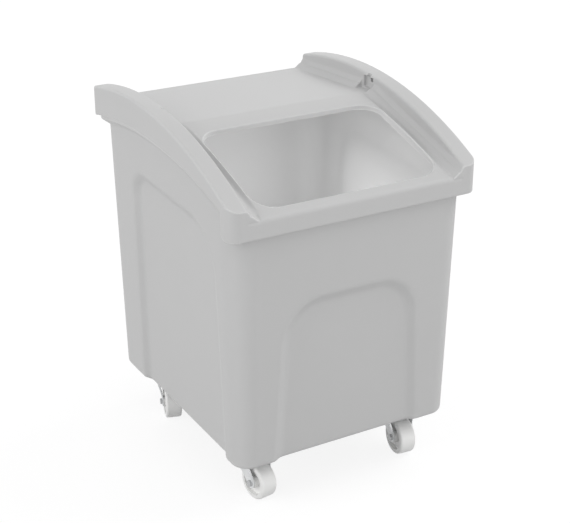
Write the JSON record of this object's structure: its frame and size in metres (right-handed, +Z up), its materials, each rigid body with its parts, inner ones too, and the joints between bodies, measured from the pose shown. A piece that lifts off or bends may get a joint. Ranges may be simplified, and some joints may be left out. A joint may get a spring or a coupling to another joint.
{
  "type": "rolling flour bin",
  "caption": "Wheeled flour bin: a drafted plastic tub on swivel castors under a hood whose sloping mouth lies between raised cheeks.",
  "frame": {"origin": "on the floor, under the middle of the hood", "axes": "+Z up, -Y to the front with the mouth's low edge, +X to the right seen from the front"},
  "size_m": [0.434, 0.486, 0.608],
  "materials": {
    "tub_plastic": "fine moulded texture",
    "hood_plastic": "fine moulded texture",
    "nylon": "smooth, slightly worn",
    "zinc": "bright zinc plate",
    "steel": "plain turned steel"
  },
  "bodies": {
    "bin": {"tub": "tub_plastic", "hood": "hood_plastic", "front_left_plate": "zinc", "front_left_king_pin": "steel", "front_left_balls": "steel", "front_left_plate_bolts": "steel", "front_left_plate_nuts": "steel", "front_right_plate": "zinc", "front_right_king_pin": "steel", "front_right_balls": "steel", "front_right_plate_bolts": "steel", "front_right_plate_nuts": "steel", "rear_left_plate": "zinc", "rear_left_king_pin": "steel", "rear_left_balls": "steel", "rear_left_plate_bolts": "steel", "rear_left_plate_nuts": "steel", "rear_right_plate": "zinc", "rear_right_king_pin": "steel", "rear_right_balls": "steel", "rear_right_plate_bolts": "steel", "rear_right_plate_nuts": "steel"},
    "front_left_horn": {"front_left_fork": "zinc", "front_left_sleeve": "steel", "front_left_axle_bolt": "steel", "front_left_axle_nut": "steel"},
    "front_left_roller": {"front_left_wheel": "nylon"},
    "front_right_horn": {"front_right_fork": "zinc", "front_right_sleeve": "steel", "front_right_axle_bolt": "steel", "front_right_axle_nut": "steel"},
    "front_right_roller": {"front_right_wheel": "nylon"},
    "rear_left_horn": {"rear_left_fork": "zinc", "rear_left_sleeve": "steel", "rear_left_axle_bolt": "steel", "rear_left_axle_nut": "steel"},
    "rear_left_roller": {"rear_left_wheel": "nylon"},
    "rear_right_horn": {"rear_right_fork": "zinc", "rear_right_sleeve": "steel", "rear_right_axle_bolt": "steel", "rear_right_axle_nut": "steel"},
    "rear_right_roller": {"rear_right_wheel": "nylon"}
  },
  "joints": [
    {"name": "front_left_swivel", "type": "hinge", "parent": "bin", "child": "front_left_horn", "pos_m": [-0.14, -0.15, 0.075], "axis": [0, 0, 1], "continuous": true},
    {"name": "front_left_roll", "type": "hinge", "parent": "front_left_horn", "child": "front_left_roller", "pos_m": [-0.13652, -0.17476, 0.03], "axis": [0.9903, 0.1392, 0], "continuous": true},
    {"name": "front_right_swivel", "type": "hinge", "parent": "bin", "child": "front_right_horn", "pos_m": [0.14, -0.15, 0.075], "axis": [0, 0, 1], "continuous": true},
    {"name": "front_right_roll", "type": "hinge", "parent": "front_right_horn", "child": "front_right_roller", "pos_m": [0.13739, -0.17486, 0.03], "axis": [0.9945, -0.1045, 0], "continuous": true},
    {"name": "rear_left_swivel", "type": "hinge", "parent": "bin", "child": "rear_left_horn", "pos_m": [-0.14, 0.15, 0.075], "axis": [0, 0, 1], "continuous": true},
    {"name": "rear_left_roll", "type": "hinge", "parent": "rear_left_horn", "child": "rear_left_roller", "pos_m": [-0.14772, 0.12622, 0.03], "axis": [0.9511, -0.309, 0], "continuous": true},
    {"name": "rear_right_swivel", "type": "hinge", "parent": "bin", "child": "rear_right_horn", "pos_m": [0.14, 0.15, 0.075], "axis": [0, 0, 1], "continuous": true},
    {"name": "rear_right_roll", "type": "hinge", "parent": "rear_right_horn", "child": "rear_right_roller", "pos_m": [0.14689, 0.12597, 0.03], "axis": [0.9613, 0.2756, 0], "continuous": true}
  ]
}
